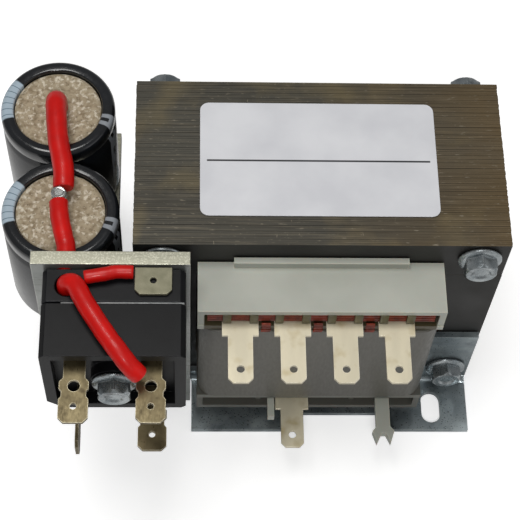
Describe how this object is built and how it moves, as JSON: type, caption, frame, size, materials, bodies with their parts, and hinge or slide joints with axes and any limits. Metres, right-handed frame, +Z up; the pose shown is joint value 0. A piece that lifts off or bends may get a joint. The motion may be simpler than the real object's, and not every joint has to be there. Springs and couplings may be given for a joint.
{
  "type": "transformer",
  "caption": "Open-frame laminated core mains transformer with a blade-terminal bobbin, foot brackets, bridge rectifier on a carrier plate and smoothing capacitors.",
  "frame": {"origin": "middle of the underside of the laminated core, on the surface that it stands on", "axes": "+X to the right, away from the capacitors; +Y to the back, along the core bolts; +Z up, along the winding's axis"},
  "size_m": [0.1154, 0.1004, 0.0786],
  "materials": {
    "core_steel": "rolled silicon steel sheet, dull brown-grey",
    "nylon": "moulded nylon, satin",
    "winding_copper": "enamelled copper wire",
    "insulating_film": "wound insulating film, satin",
    "tinned_brass": "tin-plated brass, satin",
    "zinc_steel": "zinc-plated steel, satin",
    "aluminium": "mill-finish aluminium sheet",
    "black_anodised": "black anodised aluminium",
    "black_plastic": "moulded thermoset, satin",
    "capacitor_sleeve": "shrunk plastic sleeve, glossy",
    "capacitor_resin": "speckled laminate seal, matt",
    "red_sleeving": "red insulating sleeve, glossy",
    "label_paper": "white label film, satin"
  },
  "bodies": {
    "root": {"core_e_stack": "core_steel", "core_i_stack": "core_steel", "bobbin": "nylon", "primary_winding": "winding_copper", "secondary_winding": "winding_copper", "winding_wrap": "insulating_film", "winding_tab_1": "tinned_brass", "winding_tab_2": "tinned_brass", "winding_tab_3": "tinned_brass", "winding_tab_4": "tinned_brass", "winding_tab_low": "tinned_brass", "rectifier_tab_lower_left": "tinned_brass", "rectifier_tab_lower_right": "tinned_brass", "rectifier_tab_upper_left": "tinned_brass", "rectifier_tab_upper_right": "tinned_brass", "output_tab": "tinned_brass", "positive_joint": "tinned_brass", "negative_link": "tinned_brass", "core_bolt_lower_left": "zinc_steel", "core_bolt_lower_right": "zinc_steel", "core_bolt_upper_left": "zinc_steel", "core_bolt_upper_right": "zinc_steel", "core_nut_lower_left": "zinc_steel", "core_nut_lower_right": "zinc_steel", "core_nut_upper_left": "zinc_steel", "core_nut_upper_right": "zinc_steel", "bolt_spacer": "zinc_steel", "rectifier_screw": "zinc_steel", "rectifier_nut": "zinc_steel", "foot_bracket_front": "zinc_steel", "foot_bracket_rear": "zinc_steel", "carrier_plate": "aluminium", "heat_sink_block": "black_anodised", "rectifier_case": "black_plastic", "capacitor_can_front": "capacitor_sleeve", "capacitor_can_rear": "capacitor_sleeve", "capacitor_seal_front": "capacitor_resin", "capacitor_seal_rear": "capacitor_resin", "positive_lead_front": "red_sleeving", "positive_lead_rear": "red_sleeving", "rectifier_lead": "red_sleeving", "output_lead": "red_sleeving", "rating_label": "label_paper"}
  },
  "joints": []
}
